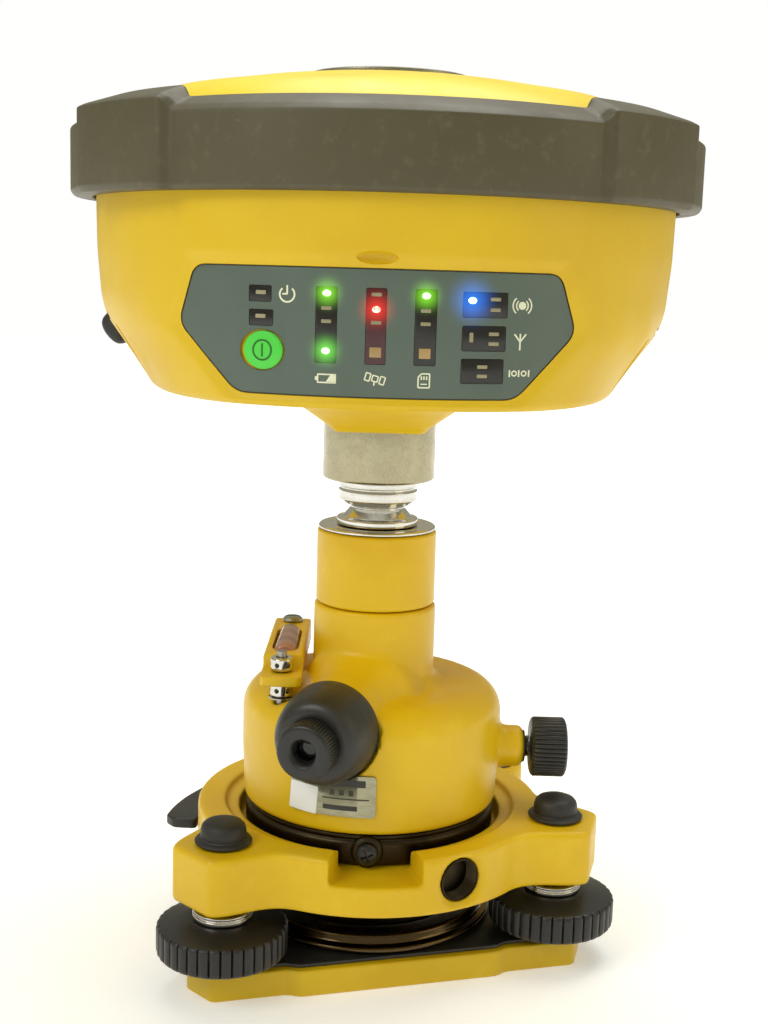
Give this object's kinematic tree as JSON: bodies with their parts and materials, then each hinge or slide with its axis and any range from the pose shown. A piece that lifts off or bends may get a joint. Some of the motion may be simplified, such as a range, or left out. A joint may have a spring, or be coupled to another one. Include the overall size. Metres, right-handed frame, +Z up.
{
  "type": "gnss receiver",
  "caption": "Survey satellite-positioning receiver on a clamped rotating adapter with optical plummet, standing on a three-screw levelling tribrach.",
  "frame": {"origin": "on the instrument's vertical axis, in the plane of the base plate's underside", "axes": "+Z up along the vertical axis, -Y towards the side with the keypad, +X to the right of it"},
  "size_m": [0.1846, 0.174, 0.2652],
  "materials": {
    "yellow_paint": "satin yellow paint over cast aluminium",
    "yellow_plastic": "satin moulded housing",
    "black_plastic": "satin moulded, fluted grips",
    "black_metal": "black anodised",
    "black_sheet": "black oxidised spring steel",
    "black_rubber": "matte",
    "grey_rubber": "matte, scuffed",
    "steel": "turned",
    "chrome": "polished",
    "brass": "machined",
    "glass": "clear",
    "panel_film": "blue-grey keypad film",
    "button_green": "green silicone key",
    "label_foil": "matt silver foil",
    "circuit_board": "solder-masked board",
    "copper_sheet": "bare copper",
    "antenna_ceramic": "ceramic"
  },
  "bodies": {
    "base": {"base_plate": "yellow_paint", "spring_plate": "black_sheet", "centre_ring": "black_metal", "tripod_bush": "brass"},
    "foot_a": {"foot_screw_a": "chrome", "foot_knob_a": "black_plastic"},
    "foot_b": {"foot_screw_b": "chrome", "foot_knob_b": "black_plastic"},
    "foot_c": {"foot_screw_c": "chrome", "foot_knob_c": "black_plastic"},
    "tribrach": {"tribrach_body": "yellow_paint", "tribrach_cover": "black_metal", "circular_level_cup": "steel", "circular_level_glass": "glass", "foot_cap_a": "black_rubber", "foot_cap_b": "black_rubber", "foot_cap_c": "black_rubber", "adapter_flange": "black_metal", "key_screw": "black_plastic", "axis_spindle": "steel"},
    "lock": {"clamp_ring": "steel", "lock_lever": "black_plastic"},
    "adapter": {"adapter_body": "yellow_paint", "neck_upper": "yellow_paint", "top_plate": "chrome", "quick_stud": "chrome", "steel_sleeve": "steel", "name_plate": "label_foil", "plummet_sleeve": "black_plastic", "plummet_objective": "glass", "plummet_prism": "glass", "vial_post": "steel", "vial_pivot_screw": "steel", "mount_insert": "steel", "lower_housing": "yellow_plastic", "control_panel": "panel_film", "top_dome": "yellow_plastic", "top_badge": "label_foil", "bumper_band": "grey_rubber", "housing_gasket": "black_rubber", "main_board": "circuit_board", "ground_plane": "copper_sheet", "antenna_element": "antenna_ceramic", "receiver_module": "steel", "battery_pack": "black_plastic", "card_reader": "circuit_board"},
    "clamp": {"clamp_shaft": "steel", "clamp_knob": "black_plastic"},
    "eyepiece": {"eyepiece_knob": "black_plastic", "eyepiece_lens": "glass"},
    "vial": {"vial_holder": "yellow_paint", "vial_tube": "glass"},
    "nut_upper": {"vial_nut_upper": "steel"},
    "nut_lower": {"vial_nut_lower": "steel"},
    "battery_door": {"battery_door": "yellow_plastic"},
    "battery_latch": {"battery_latch": "black_rubber"},
    "card_door": {"card_door": "yellow_plastic"},
    "card_latch": {"card_latch": "steel"},
    "power_button": {"power_button": "button_green"}
  },
  "joints": [
    {"name": "foot_a_spin", "type": "hinge", "parent": "base", "child": "foot_a", "pos_m": [-0.04156, -0.0423, 0.0167], "axis": [0, 0, 1], "range_deg": [-721, 721]},
    {"name": "foot_b_spin", "type": "hinge", "parent": "base", "child": "foot_b", "pos_m": [0.05741, -0.01485, 0.0167], "axis": [0, 0, 1], "range_deg": [-721, 721]},
    {"name": "foot_c_spin", "type": "hinge", "parent": "base", "child": "foot_c", "pos_m": [-0.01585, 0.05714, 0.0167], "axis": [0, 0, 1], "range_deg": [-721, 721]},
    {"name": "tribrach_lift", "type": "slide", "parent": "base", "child": "tribrach", "axis": [0, 0, 1], "range_m": [-0.002, 0.002]},
    {"name": "lock_turn", "type": "hinge", "parent": "tribrach", "child": "lock", "pos_m": [0, 0, 0.0316], "axis": [0, 0, 1], "range_deg": [0, 26]},
    {"name": "adapter_turn", "type": "hinge", "parent": "tribrach", "child": "adapter", "pos_m": [0, 0, 0.055], "axis": [0, 0, 1], "continuous": true},
    {"name": "clamp_turn", "type": "hinge", "parent": "adapter", "child": "clamp", "pos_m": [0.0553, -0.004, 0.0635], "axis": [1, 0, 0], "range_deg": [-180, 360]},
    {"name": "eyepiece_focus", "type": "hinge", "parent": "adapter", "child": "eyepiece", "pos_m": [-0.017, -0.05231, 0.077], "axis": [-0.309, -0.9511, 0], "range_deg": [-170, 170]},
    {"name": "nut_lower_turn", "type": "hinge", "parent": "adapter", "child": "nut_lower", "pos_m": [-0.027, -0.0225, 0.0852], "axis": [0, 0, 1], "range_deg": [-119, 119]},
    {"name": "nut_upper_turn", "type": "hinge", "parent": "adapter", "child": "nut_upper", "pos_m": [-0.027, -0.0225, 0.093], "axis": [0, 0, 1], "range_deg": [-119, 119]},
    {"name": "vial_tilt", "type": "hinge", "parent": "adapter", "child": "vial", "pos_m": [-0.027, 0.0245, 0.0876], "axis": [1, 0, 0], "range_deg": [-0.2, 0.2]},
    {"name": "battery_door_hinge", "type": "hinge", "parent": "adapter", "child": "battery_door", "pos_m": [-0.07002, 0, 0.17873], "axis": [0, -1, 0], "range_deg": [0, 100]},
    {"name": "battery_latch_turn", "type": "hinge", "parent": "battery_door", "child": "battery_latch", "pos_m": [-0.07895, 0, 0.19053], "axis": [-0.7974, 0, -0.6034], "range_deg": [0, 90]},
    {"name": "card_door_hinge", "type": "hinge", "parent": "adapter", "child": "card_door", "pos_m": [0.07002, 0, 0.17873], "axis": [0, 1, 0], "range_deg": [0, 100]},
    {"name": "card_latch_turn", "type": "hinge", "parent": "card_door", "child": "card_latch", "pos_m": [0.07895, 0, 0.19053], "axis": [0.7974, 0, -0.6034], "range_deg": [0, 90]},
    {"name": "power_button_press", "type": "slide", "parent": "adapter", "child": "power_button", "axis": [0.3411, 0.94, 0], "range_m": [0, 0.0005], "stiffness_N_per_m": 800, "springref_m": -0.0003}
  ],
  "couplings": [
    {"joint": "foot_a_spin", "follows": "tribrach_lift", "rad_per_m": -6283.2},
    {"joint": "foot_b_spin", "follows": "tribrach_lift", "rad_per_m": -6283.2},
    {"joint": "foot_c_spin", "follows": "tribrach_lift", "rad_per_m": -6283.2},
    {"joint": "nut_lower_turn", "follows": "vial_tilt", "ratio": -590.6},
    {"joint": "nut_upper_turn", "follows": "vial_tilt", "ratio": -590.6}
  ]
}
